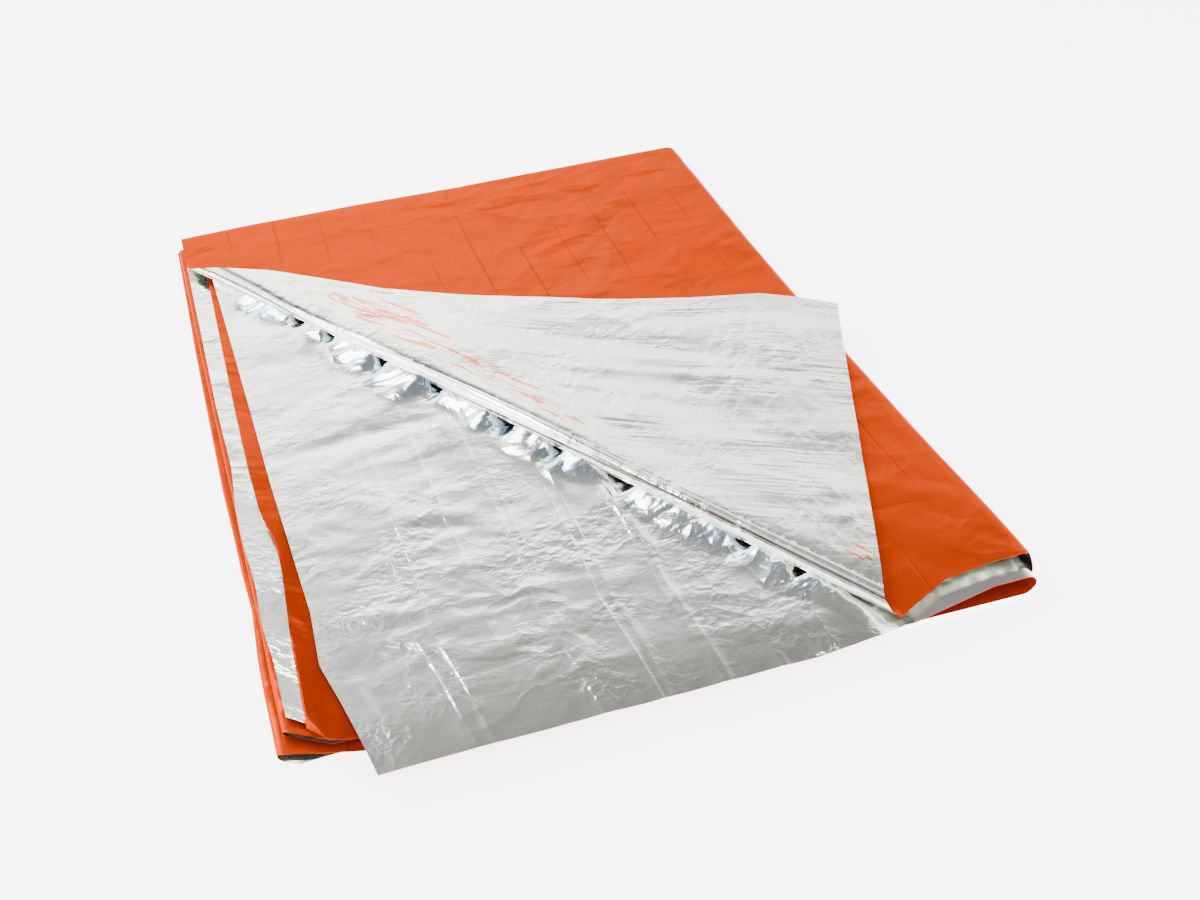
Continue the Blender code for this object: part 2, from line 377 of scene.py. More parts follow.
def bend(run, height, radius):
    """Fold a straight run over on itself, round a half turn of the given middle radius."""
    quarter = np.pi * radius / 2
    straight = np.abs(run) >= quarter
    turn = np.clip(run, -quarter, quarter) / radius
    away = np.where(straight, np.abs(run), quarter - (radius + height) * np.cos(turn))
    return away, (radius + height) * np.sin(turn)


def left_side(column, share_far):
    """How far a layer's left end stands in, at a share of the way from near to far."""
    return from_table(share_far, [(row[0], row[column]) for row in LEFT_SIDE])


def crease_frame():
    """The roll's crease: its far left end, its direction, its length, and the way to the corner."""
    start = np.array((0.0, CREASE_LEFT_Y))
    along = np.array((CREASE_NEAR_X, CREASE_NEAR_Y)) - start
    length = np.hypot(*along)
    along = along / length
    return start, along, length, np.array((along[1], -along[0]))


def from_crease(x, y):
    """The share of the way along the roll's crease, and the distance beyond it towards the corner."""
    start, along, length, outwards = crease_frame()
    share = ((x - start[0]) * along[0] + (y - start[1]) * along[1]) / length
    beyond = (x - start[0]) * outwards[0] + (y - start[1]) * outwards[1]
    return share, beyond


def facets(x, y, stretch, seed):
    """Crumpled film, from about -0.5 to 0.5: slopes that meet in sharp creases, some up and some down.
    stretch is the length of a facet along x and along y."""
    places = np.stack((x / stretch[0], y / stretch[1]), axis=1)
    return np.array([facet_height(a, b, seed) for a, b in places])


def facet_height(a, b, seed):
    """One point of the crumple: three folded noises, turned and bent differently."""
    slow = noise.noise(Vector((a * 0.5, b * 0.5, seed + 7.3)))
    valley = abs(noise.noise(Vector((a + 0.5 * slow, b, seed))))
    ridge = abs(noise.noise(Vector((0.8 * a + 0.6 * b, 0.8 * b - 0.6 * a + 0.5 * slow, seed + 3.1))))
    small = abs(noise.noise(Vector((a * 1.9 - b * 0.5, b * 1.9 + a * 0.4, seed + 5.7))))
    return 1.1 * valley - 1.1 * ridge - 0.4 * small + 0.5 * slow


def packet_ridges(from_end, from_near):
    """The long straight creases of the second layer, each one a sharp ridge or a pair of them."""
    height = np.zeros_like(from_end)
    for place, ridge, spacing, near, far in PACKET_CREASES:
        off = np.abs(np.abs(from_end - place * MM) - spacing * MM / 2)
        ends = ease((from_near - near * MM) / (40 * MM)) * ease((far * MM - from_near) / (120 * MM))
        height += ridge * MM * np.exp(-off / CREASE_WIDTH) * ends
    return height


def packet_lines(from_end, from_near):
    """1 on the same creases, or a little less by the near edge, falling to 0 at 5 mm from them."""
    nearest = np.zeros_like(from_end)
    worn_flat = 0.82 + 0.18 * ease(from_near / (260 * MM))
    for place, _, spacing, near, far in PACKET_CREASES:
        off = np.abs(np.abs(from_end - place * MM) - spacing * MM / 2)
        start = ease((from_near - (near - 40) * MM) / (30 * MM))
        stop = ease((1.25 * far * MM - from_near) / (90 * MM))
        nearest = np.maximum(nearest, np.clip(1 - off / PACKET_REACH, 0, 1) * (start * stop))
    return nearest * worn_flat


def placed_creases(x, y, table):
    """Creases that run straight between two places, each a sharp ridge that fades out at both ends."""
    height = np.zeros_like(x)
    for x0, y0, x1, y1, width, ridge in table:
        start = np.array((x0, y0)) * MM
        run = np.array((x1, y1)) * MM - start
        length = np.hypot(*run)
        run = run / length
        along = ((x - start[0]) * run[0] + (y - start[1]) * run[1]) / length
        off = (x - start[0]) * run[1] - (y - start[1]) * run[0]
        ends = ease(along / 0.25) * ease((1 - along) / 0.5)
        height += ridge * MM * np.exp(-np.abs(off) / (width * MM)) * ends
    return height


def beside_roll(share, beyond):
    """How much the film is crumpled where the roll stands on it: 1 at its foot and 0 beyond a ragged
    edge, which comes close to the foot at the gaps in the table."""
    places = np.stack((share * 24, np.full_like(share, 41.0)), axis=1)
    ragged = np.array([noise.noise(Vector((a, b, 2.0))) for a, b in places])
    reach = from_table(share, FOOT_REACH) * (1.2 + 0.5 * ragged)
    near_end = ease((1 - share) / 0.08)
    return ease((reach + 6 * MM - beyond) / (9 * MM)) * ease((beyond + 6 * MM) / (6 * MM)) * near_end


def roll_size(share):
    """The roll's radius at a share of the way along it, which tapers to its ends."""
    return ROLL_RADIUS * (ROLL_END_SHARE + (1 - ROLL_END_SHARE) * np.sin(np.pi * np.clip(share, 0.0, 1.0)))


def climb_to_roll(share, beyond):
    """How high the film stands where it climbs to the roll's side, highest just outside it.  The climb is
    straight and the roll is round, so the film cuts through the roll's underside and side on its way."""
    size = roll_size(share)
    reach = from_table(share, FOOT_REACH)
    up_to = (beyond + 1.5 * MM) / (1.12 * size + 1.5 * MM)
    down_from = 1 - (beyond - 1.12 * size) / (0.72 * reach + 8 * MM)
    profile = np.minimum(np.clip(up_to, 0, 1), np.clip(down_from, 0, 1) ** 1.15)
    return 1.4 * size * profile * np.clip(reach / (20 * MM), 0.3, 1.0) * (1 - roll_gap(share))


def roll_gap(share):
    """1 where the film stays down beside the roll, and 0 where it climbs."""
    _, _, length, _ = crease_frame()
    gap = np.zeros_like(share)
    for place, half in FOOT_GAPS:
        gap = np.maximum(gap, ease(1.5 - np.abs(share - place) * length / (half * MM)))
    return gap


def second_layer_relief(u, v, x, y):
    """How far the second layer's film stands up from its flat lie: creases, cross wrinkles, and the
    climb to the side of the roll."""
    share, beyond = from_crease(x, y)
    open_film = ease((beyond - 4 * MM) / (16 * MM))
    nearness = ease(1 - (y + 10 * MM) / (330 * MM))
    in_groups = ease(0.5 + 1.4 * facets(x, y, (130 * MM, 90 * MM), 51.0))
    cross = facets(x + 0.2 * y, y - 0.1 * x, (48 * MM, 27 * MM), 1.0)
    broad = facets(x, y, (150 * MM, 85 * MM), 5.0)
    crumple = facets(x, y, (42 * MM, 38 * MM), 9.0)
    relief = packet_ridges(SHEET_LENGTH - u, v) + placed_creases(x, y, FOOT_CREASES)
    relief += placed_creases(x, y, SECOND_LAYER_CREASES)
    calm = 1 - 0.6 * ease(1.2 - np.hypot(x - 60 * MM, y - 10 * MM) / (110 * MM))
    relief += ((0.2 + (0.3 + 0.6 * nearness) * in_groups) * cross + 0.8 * broad) * MM * calm
    foot = beside_roll(share, beyond)
    relief = np.maximum(relief, -2.2 * MM) * (0.1 + 0.9 * open_film)
    return relief + 1.8 * MM * foot * crumple * open_film + climb_to_roll(share, beyond)


def top_layer_relief(u, v, x, y, turned):
    """The top layer's relief: slow creases on the orange, and long wrinkles along the turned flap."""
    _, beyond = from_crease(x, y)
    under_flap = ease((beyond + 330 * MM) / (60 * MM))
    slow = facets(x, y, (95 * MM, 70 * MM), 12.0)
    orange = (0.3 + 0.9 * slow) * MM * (1 - 0.8 * under_flap) + placed_creases(x, y, ORANGE_CREASES)
    long_wrinkles = facets(u, v, (15 * MM, 120 * MM), 15.0)
    broad = facets(u, v, (70 * MM, 190 * MM), 19.0)
    flap = (0.35 * long_wrinkles + 1.5 * broad + 0.8) * MM + placed_creases(x, y, FLAP_CREASES)
    return np.where(turned, flap, np.maximum(orange, -0.6 * MM))


def strip_relief(_u, _v, x, y, stretch, seed, height):
    """Relief of the third and fourth layers, only where their left ends show."""
    showing = ease((60 * MM - x) / (20 * MM))
    return height * (0.5 + facets(x, y, stretch, seed)) * showing


def turn_back_corner(x, y, z):
    """Roll the near left corner of the top layer back along the crease."""
    _, _, _, outwards = crease_frame()
    share, beyond = from_crease(x, y)
    radius = roll_size(share)
    turn = np.pi * np.clip(beyond / ROLL_LENGTH, 0.0, 1.0)
    back = np.maximum(beyond - ROLL_LENGTH, 0.0)
    settle = ease(back / FLAP_SLOPE_RUN)
    place = np.minimum(beyond, 0.0) + (radius - z) * np.sin(turn) - back
    lifted = radius - (radius - z) * np.cos(turn) - (2 * radius - FLAP_REST) * settle
    moved = place - beyond
    return x + moved * outwards[0], y + moved * outwards[1], lifted


def roll_dents(x, y):
    """Dents in the roll, inwards: a few flats across it."""
    share, beyond = from_crease(x, y)
    turn = beyond / ROLL_LENGTH
    across = 0.5 + facets(share * 0.78, turn * 0.02, (60 * MM, 60 * MM), 23.0)
    on_roll = ease(turn / 0.2) * ease((1.6 - turn) / 0.5)
    return 0.45 * MM * across * on_roll


def layer_masks(u, v):
    """Which points of the sheet are on the top layer, the second, the third and the fourth."""
    front, first_panel, last_panel = v <= PANEL_WIDTH, u <= PANEL_LENGTH, u >= 3 * PANEL_LENGTH
    return front & first_panel, front & last_panel, ~front & last_panel, ~front & first_panel


def fold_sheet(u, v, w):
    """Where the points (u, v, w) of the flat sheet lie in the folded pack."""
    first_half = u <= 2 * PANEL_LENGTH
    front = v <= PANEL_WIDTH
    on_top, second, third, fourth = layer_masks(u, v)

    down_edge = (CREASE_LEFT_Y - v) / CREASE_LEFT_Y
    sway = from_table(down_edge, FLAP_EDGE) * np.exp(-u / FLAP_EDGE_REACH)
    u_swayed = np.where(on_top, u - sway, u)

    from_end_fold, height = bend(2 * PANEL_LENGTH - u_swayed, w - FILM / 2, END_FOLD_RADIUS)
    from_side_fold, height = bend(PANEL_WIDTH - v, height, SIDE_FOLD_RADIUS)
    upper = from_end_fold > PANEL_LENGTH
    from_last_fold, height = bend(from_end_fold - PANEL_LENGTH, height, LAST_FOLD_RADIUS)
    x = PANEL_LENGTH - from_last_fold
    y = PANEL_WIDTH - from_side_fold
    z = height + PACK_HALF - (SOLID_THICKNESS - FILM) / 2

    across = np.clip(x / PANEL_LENGTH, 0.0, 1.0)
    share_far = np.clip(y / PANEL_WIDTH, 0.0, 1.0)
    station = u / PANEL_LENGTH
    near = np.where(front, from_table(station, FRONT_EDGE), from_table(station, BACK_EDGE))
    y = y + near * (1 - share_far)
    front_ends = np.where(first_half, 0.0, left_side(SECOND, share_far))
    back_ends = np.where(first_half, left_side(FOURTH, share_far), left_side(THIRD, share_far))
    ends = np.where(front, front_ends, back_ends)
    folds = np.where(front, left_side(LOWER_FOLD, share_far), left_side(UPPER_FOLD, share_far))
    x = x + np.where(upper, ends, folds) * (1 - across)

    third_edge = from_table(np.minimum(station, DROOP_STATION), BACK_EDGE)
    overhang = np.clip(third_edge + DROOP_START - y, 0.0, None)
    droop = DROOP_DEPTH * (overhang / DROOP_RUN) ** 2
    z = z - np.where(front & ~first_half & upper, droop, 0.0)

    silver_face = 2 * PACK_HALF - SOLID_THICKNESS / 2 - (SOLID_THICKNESS - FILM) / 2 - FILM / 2
    _, beyond = from_crease(x, y)
    turned = on_top & (beyond > ROLL_LENGTH)
    dents = roll_dents(x, y)
    turned_x, turned_y, turned_z = turn_back_corner(x, y, z - silver_face + dents)
    x, y = np.where(on_top, turned_x, x), np.where(on_top, turned_y, y)
    z = np.where(on_top, turned_z + silver_face, z)
    x, y, z = shape_pack(x, y, z)

    # The relief of each layer that shows, faded out at the folds and along the roll itself.
    at_fold = ease((PANEL_WIDTH - v) / FOLD_FADE) * ease((PANEL_LENGTH - u) / FOLD_FADE)
    off_roll = np.where(beyond > 0, ease((beyond - ROLL_LENGTH) / (20 * MM)), ease(-beyond / (25 * MM)))
    z = z + on_layer(on_top, top_layer_relief, u, v, x, y, turned) * at_fold * off_roll
    at_fold = ease((PANEL_WIDTH - v) / FOLD_FADE) * ease((u - 3 * PANEL_LENGTH) / FOLD_FADE)
    z = z + on_layer(second, second_layer_relief, u, v, x, y) * at_fold
    z = z + on_layer(third, strip_relief, u, v, x, y, (24 * MM, 90 * MM), 31.0, 0.8 * MM)
    z = z + on_layer(fourth, strip_relief, u, v, x, y, (18 * MM, 46 * MM), 37.0, 0.6 * MM)
    return x, y, z


def on_layer(mask, relief, u, v, x, y, *more):
    """A layer's relief at its own points, and nothing elsewhere."""
    result = np.zeros_like(x)
    picked = [item[mask] if isinstance(item, np.ndarray) else item for item in more]
    result[mask] = relief(u[mask], v[mask], x[mask], y[mask], *picked)
    return result


def shape_pack(x, y, z):
    """What the whole pack does at once: its skewed far edge, its right side, its height and swell."""
    across = np.clip(x / PANEL_LENGTH, 0.0, 1.0)
    share_far = np.clip(y / PANEL_WIDTH, 0.0, 1.0)
    near_rise = RISE_NEAR_LEFT + (RISE_NEAR_RIGHT - RISE_NEAR_LEFT) * across**2
    far_rise = RISE_FAR_LEFT + (RISE_FAR_RIGHT - RISE_FAR_LEFT) * across
    rise = near_rise + (far_rise - near_rise) * ease(share_far)
    level = z / (2 * PACK_HALF)
    wave = np.sin(SWELL_WAVES * np.pi * (across + 0.4 * share_far)) * np.sin(2 * np.pi * share_far + 0.6)
    corner = ease(1 - (PANEL_LENGTH - x) / GAPE_REACH[0]) * ease(1 - y / GAPE_REACH[1])
    gape = GAPE * corner * ease((level - 0.74) / 0.2)
    new_z = z * rise + SWELL * wave * np.clip(level, 0.0, 1.0) + gape
    new_x = x + from_table(share_far, RIGHT_SIDE) * across
    new_y = y + from_table(across, FAR_EDGE) * share_far
    return new_x, new_y, new_z


def fold_lines(middle, radius, steps):
    """The lines round a fold, evenly spaced over its half turn."""
    quarter = np.pi * radius / 2
    return np.linspace(middle - quarter, middle + quarter, steps + 1)


def spaced_lines(folds, cells, end):
    """Grid lines over one direction of the sheet: the lines of its folds, and even cells between."""
    lines, start = [], 0.0
    for index, count in enumerate(cells):
        stop = folds[index][0] if index < len(folds) else end
        lines.append(np.linspace(start, stop, count + 1))
        if index < len(folds):
            lines.append(folds[index])
            start = folds[index][-1]
    return np.concatenate(lines)


def merged_lines(lines, extra, apart):
    """Add lines, and drop the even ones that fall too near an added one."""
    kept = [line for line in np.unique(np.round(lines, 7)) if np.min(np.abs(extra - line)) > apart]
    return np.unique(np.concatenate((kept, extra)))


def grid_lines():
    """The lines along and across the flat sheet, with one on every packing crease."""
    folds = (
        fold_lines(PANEL_LENGTH, LAST_FOLD_RADIUS, LAST_FOLD_STEPS),
        fold_lines(2 * PANEL_LENGTH, END_FOLD_RADIUS, END_FOLD_STEPS),
        fold_lines(3 * PANEL_LENGTH, LAST_FOLD_RADIUS, LAST_FOLD_STEPS),
    )
    u_lines = spaced_lines(folds, (TOP_CELLS, HIDDEN_CELLS, HIDDEN_CELLS, TOP_CELLS), SHEET_LENGTH)
    ends, beside, middle = np.array(CORNER_LINES), np.array(FOLD_LINES), 2 * PANEL_LENGTH
    ridges = [
        SHEET_LENGTH - (place + side * spacing / 2) * MM
        for place, _, spacing, _, _ in PACKET_CREASES
        for side in ((-1, 1) if spacing else (0,))
    ]
    extra = np.concatenate((ends, SHEET_LENGTH - ends, middle - beside, middle + beside, ridges))
    u_lines = merged_lines(u_lines, np.round(extra, 7), LINES_APART)
    side_fold = (fold_lines(PANEL_WIDTH, SIDE_FOLD_RADIUS, SIDE_FOLD_STEPS),)
    v_lines = np.unique(np.round(spaced_lines(side_fold, (FRONT_CELLS, BACK_CELLS), SHEET_WIDTH), 7))
    share = np.clip(v_lines / side_fold[0][0], 0.0, 1.0)
    v_lines = v_lines - side_fold[0][0] * NEAR_CELLS_FINER * share * (1 - share)
    return u_lines, v_lines


def flat_film():
    """The film laid flat: a grid with extra lines where the corner rolls back, and its thickness."""
    u_lines, v_lines = grid_lines()
    film = bmesh.new()
    grid = [[film.verts.new((u, v, 0.0)) for v in v_lines] for u in u_lines]
    for row, next_row in zip(grid, grid[1:]):
        for near, far, next_near, next_far in zip(row, row[1:], next_row, next_row[1:]):
            film.faces.new((near, next_near, next_far, far))

    start, _, _, outwards = crease_frame()
    for step in range(ROLL_STEPS + 1):
        away = ROLL_LENGTH * step / ROLL_STEPS
        place = start + outwards * away
        near_roll = [face for face in film.faces if beside_crease(face.calc_center_median(), away)]
        edges = {edge for face in near_roll for edge in face.edges}
        verts = {vert for face in near_roll for vert in face.verts}
        bmesh.ops.bisect_plane(
            film,
            geom=near_roll + list(edges) + list(verts),
            plane_co=(place[0], place[1], 0.0),
            plane_no=(outwards[0], outwards[1], 0.0),
            dist=CUT_SNAP,
        )

    raised = bmesh.ops.extrude_face_region(film, geom=list(film.faces), use_keep_orig=True)
    orange_verts = [item for item in raised["geom"] if isinstance(item, bmesh.types.BMVert)]
    bmesh.ops.translate(film, verts=orange_verts, vec=(0.0, 0.0, FILM))
    return film


def beside_crease(place, away):
    """Whether a face of the top layer lies near the line that is this far beyond the crease."""
    _, beyond = from_crease(place.x, place.y)
    return place.x < PANEL_LENGTH and place.y < PANEL_WIDTH and abs(beyond - away) < CUT_REACH


def film_marks(u, v, x, y):
    """Numbers at each point of the film: how crumpled it is, whether it is the turned flap, how strongly its
    wrinkles there take the painted reflection of the orange side, how worn it is, how much painted shade it
    takes for the shadow and dark gap at the left, how near it is to a packing crease, and the shares of the
    way round the roll and along it."""
    share, beyond = from_crease(x, y)
    on_top, second, third, _ = layer_masks(u, v)
    _, from_roll = from_crease(u, v)
    crumple = np.where(second, beside_roll(share, beyond), 0.0)
    turned = on_top & (from_roll > ROLL_LENGTH)
    back = -beyond
    # Painted reflection of the orange side on the flap's wrinkles, and a spot of it low on the flap.
    reach = from_table(share, ORANGE_REFLECTION_REACH)
    painted_orange_reflection = ease((back - 7 * MM) / (8 * MM)) * ease((reach - back) / (14 * MM))
    painted_orange_reflection = painted_orange_reflection + ease(1.6 - np.hypot(x - ORANGE_REFLECTION_SPOT[0], y - ORANGE_REFLECTION_SPOT[1]) / (11 * MM))
    calm = ease(1.3 - np.hypot(x - 60 * MM, y) / (150 * MM))
    worn = np.where(second, 0.4 + 0.6 * ease((300 * MM - y) / (220 * MM)) - 0.4 * calm, 0.7)
    covered = np.where(second, ease(-beyond / (8 * MM)), 0.0)
    worn = worn * (1 - 0.9 * covered)
    # Painted shade on the third layer's strip under the second layer's left edge, strongest towards the near
    # left.
    dark = ease((380 * MM - y) / (260 * MM)) * ease((90 * MM - x) / (20 * MM))
    return {
        "crumple": crumple,
        "flap": turned * 1.0,
        "painted_orange_reflection": np.where(turned, painted_orange_reflection, 0.0),
        "worn": worn,
        "shade": np.where(third, dark, 0.0),
        "packet": np.where(second, packet_lines(SHEET_LENGTH - u, v), 0.0),
        "turn": np.clip(np.where(on_top, from_roll / ROLL_LENGTH, -1.0), -1.0, 2.0),
        "along": share,
    }


def make_film():
    """The folded film as one mesh, silver and orange by face, with the flat sheet as its UV map."""
    film = flat_film()
    bmesh.ops.recalc_face_normals(film, faces=film.faces)
    flat = np.array([vert.co for vert in film.verts], dtype=float)
    x, y, z = fold_sheet(flat[:, 0], flat[:, 1], flat[:, 2])
    z = np.maximum(z, 0.0)
    for vert, place in zip(film.verts, zip(x - PANEL_LENGTH / 2, y - PANEL_WIDTH / 2, z)):
        vert.co = place
    for name, values in film_marks(flat[:, 0], flat[:, 1], x, y).items():
        layer = film.verts.layers.float.new(name)
        for vert, value in zip(film.verts, values):
            vert[layer] = value
    chart = film.loops.layers.uv.new("flat_sheet")
    for face in film.faces:
        silver = all(flat[vert.index][2] == 0.0 for vert in face.verts)
        face.material_index = 1 if silver else 0
        for loop in face.loops:
            u, v, _ = flat[loop.vert.index]
            loop[chart].uv = (u / SHEET_LENGTH, (v + (SHEET_WIDTH if silver else 0.0)) / (2 * SHEET_WIDTH))

    mesh = bpy.data.meshes.new("folded_film")
    film.to_mesh(mesh)
    film.free()
    mesh.shade_smooth()
    mesh.set_sharp_from_angle(angle=SHARP_ANGLE)
    return place_in_scene("folded_film", mesh)


def place_in_scene(name, mesh):
    """Put a mesh in the scene as an object."""
    scene_object = bpy.data.objects.new(name, mesh)
    bpy.context.scene.collection.objects.link(scene_object)
    return scene_object


# ---------------------------------------------------------------------------------------------
# Materials
# ---------------------------------------------------------------------------------------------

SILVER = "#F1F2EB"
# Painted reflection of cool light from above, for the film beside the roll.
MIRRORED_COOL_LIGHT = "#C9DDEC"
MIRRORED_ORANGE = "#F58A66"
SILVER_ROUGHNESS = 0.18
ORANGE_INK = "#AA3100"
WORN_INK = "#872400"
# Painted shade for the strip under the second layer's left edge.
PAINTED_SHADE_INK = "#7A1E00"
ORANGE_SHEEN = "#FFCBBC"
ORANGE_METALLIC = 0.55
ORANGE_ROUGHNESS = 0.22
PAPER = "#F2F2F0"
PAPER_ROUGHNESS = 0.9
PAPER_GLOW = 4.5  # the paper is lit from behind as well, so that it stays paler than the pack


def linear(hex_colour):
    """An sRGB hex colour as linear RGBA."""
    channels = [int(hex_colour[i : i + 2], 16) / 255 for i in (1, 3, 5)]
    return tuple(c / 12.92 if c <= 0.04045 else ((c + 0.055) / 1.055) ** 2.4 for c in channels) + (1.0,)


def add_node(tree, kind, settings=None, inputs=None):
    """Add a node.  Settings are its own properties; inputs are values, or sockets to link from."""
    node = tree.nodes.new(kind)
    for name, value in (settings or {}).items():
        setattr(node, name, value)
    for name, value in (inputs or {}).items():
        if isinstance(value, bpy.types.NodeSocket):
            tree.links.new(value, node.inputs[name])
        else:
            node.inputs[name].default_value = value
    return node


def new_material(name):
    """An empty material with its shader, ready for its settings."""
    material = bpy.data.materials.new(name)
    material.use_nodes = True
    material.node_tree.nodes.clear()
    shader = add_node(material.node_tree, "ShaderNodeBsdfPrincipled")
    output = add_node(material.node_tree, "ShaderNodeOutputMaterial")
    material.node_tree.links.new(shader.outputs[0], output.inputs[0])
    return material, shader


def sheet_places(tree):
    """The flat sheet's own places in metres, from the film's chart."""
    chart = add_node(tree, "ShaderNodeUVMap", {"uv_map": "flat_sheet"})
    size = (SHEET_LENGTH, 2 * SHEET_WIDTH, 1.0)
    return add_node(tree, "ShaderNodeMapping", None, {"Vector": chart.outputs[0], "Scale": size}).outputs[0]


def math_node(tree, operation, first, second):
    """One sum on two numbers or sockets."""
    return add_node(tree, "ShaderNodeMath", {"operation": operation}, {0: first, 1: second}).outputs[0]


def product(tree, first, second):
    """Two numbers or sockets multiplied."""
    return math_node(tree, "MULTIPLY", first, second)


def ramped(tree, value, low, high, to=(0.0, 1.0), kind="SMOOTHSTEP"):
    """A value's rise between low and high, as a rise from 0 to 1 or between two other numbers."""
    inputs = {"Value": value, "From Min": low, "From Max": high, "To Min": to[0], "To Max": to[1]}
    return add_node(tree, "ShaderNodeMapRange", {"interpolation_type": kind}, inputs).outputs[0]


def mixed(tree, share, first, second):
    """The first colour at 0 and the second at 1.  Each is a hex colour, or a socket to link from."""
    first, second = [linear(colour) if isinstance(colour, str) else colour for colour in (first, second)]
    return add_node(tree, "ShaderNodeMix", {"data_type": "RGBA"}, {0: share, 6: first, 7: second}).outputs[2]


def scaled_places(tree, places, length, width, turn=0.0):
    """The sheet's places counted in lengths along u and widths along v, and then turned."""
    inputs = {"Vector": places, "Scale": (1 / length, 1 / width, 1.0), "Rotation": (0.0, 0.0, turn)}
    return add_node(tree, "ShaderNodeMapping", None, inputs).outputs[0]


def crumple_height(tree, places, length, width):
    """Fine crumple as a height of about -0.5 to 0.5: two folded noises, one up and one down, this long
    along u and this wide along v."""
    parts = []
    for turn in (0.0, 0.6):
        scaled = scaled_places(tree, places, length, width, turn)
        grain = add_node(
            tree,
            "ShaderNodeTexNoise",
            {"noise_dimensions": "2D"},
            {"Vector": scaled, "Scale": 1.0, "Detail": 2.5, "Roughness": 0.42, "Distortion": 0.35},
        )
        centred = math_node(tree, "SUBTRACT", grain.outputs[0], 0.5)
        parts.append(math_node(tree, "ABSOLUTE", centred, 0.0))
    return math_node(tree, "SUBTRACT", parts[0], parts[1])


def pillow_height(tree, places, length, width):
    """Pillows of film between sharp creases, as a height of 0 to about 1, this long along u and this
    wide along v."""
    scaled = scaled_places(tree, places, length, width)
    cloud = add_node(tree, "ShaderNodeTexNoise", {"noise_dimensions": "2D"}, {"Vector": scaled, "Scale": 0.6})
    warped = add_node(
        tree,
        "ShaderNodeVectorMath",
        {"operation": "MULTIPLY_ADD"},
        {0: cloud.outputs["Color"], 1: (1.6, 1.6, 0.0), 2: scaled},
    )
    cells = add_node(
        tree,
        "ShaderNodeTexVoronoi",
        {"voronoi_dimensions": "2D"},
        {"Vector": warped.outputs[0], "Scale": 1.0, "Detail": 1.0, "Roughness": 0.35},
    )
    return cells.outputs["Distance"]


def patches(tree, places, size):
    """Uneven patches of this size, mostly near 0.15 and up to 1, so that wrinkles come in groups."""
    scaled = scaled_places(tree, places, size, size)
    inputs = {"Vector": scaled, "Detail": 1.0, "Scale": 1.0}
    cloud = add_node(tree, "ShaderNodeTexNoise", {"noise_dimensions": "2D"}, inputs)
    return ramped(tree, cloud.outputs[0], 0.42, 0.68, to=(0.15, 1.0))


def bumped(tree, height, distance, under=None):
    """A bump of this height in metres, on top of another one."""
    inputs = {"Height": height, "Distance": distance, "Strength": 1.0}
    if under is not None:
        inputs["Normal"] = under
    return add_node(tree, "ShaderNodeBump", None, inputs).outputs[0]


def attribute(tree, name):
    """One of the film's own numbers."""
    return add_node(tree, "ShaderNodeAttribute", {"attribute_name": name}).outputs["Fac"]


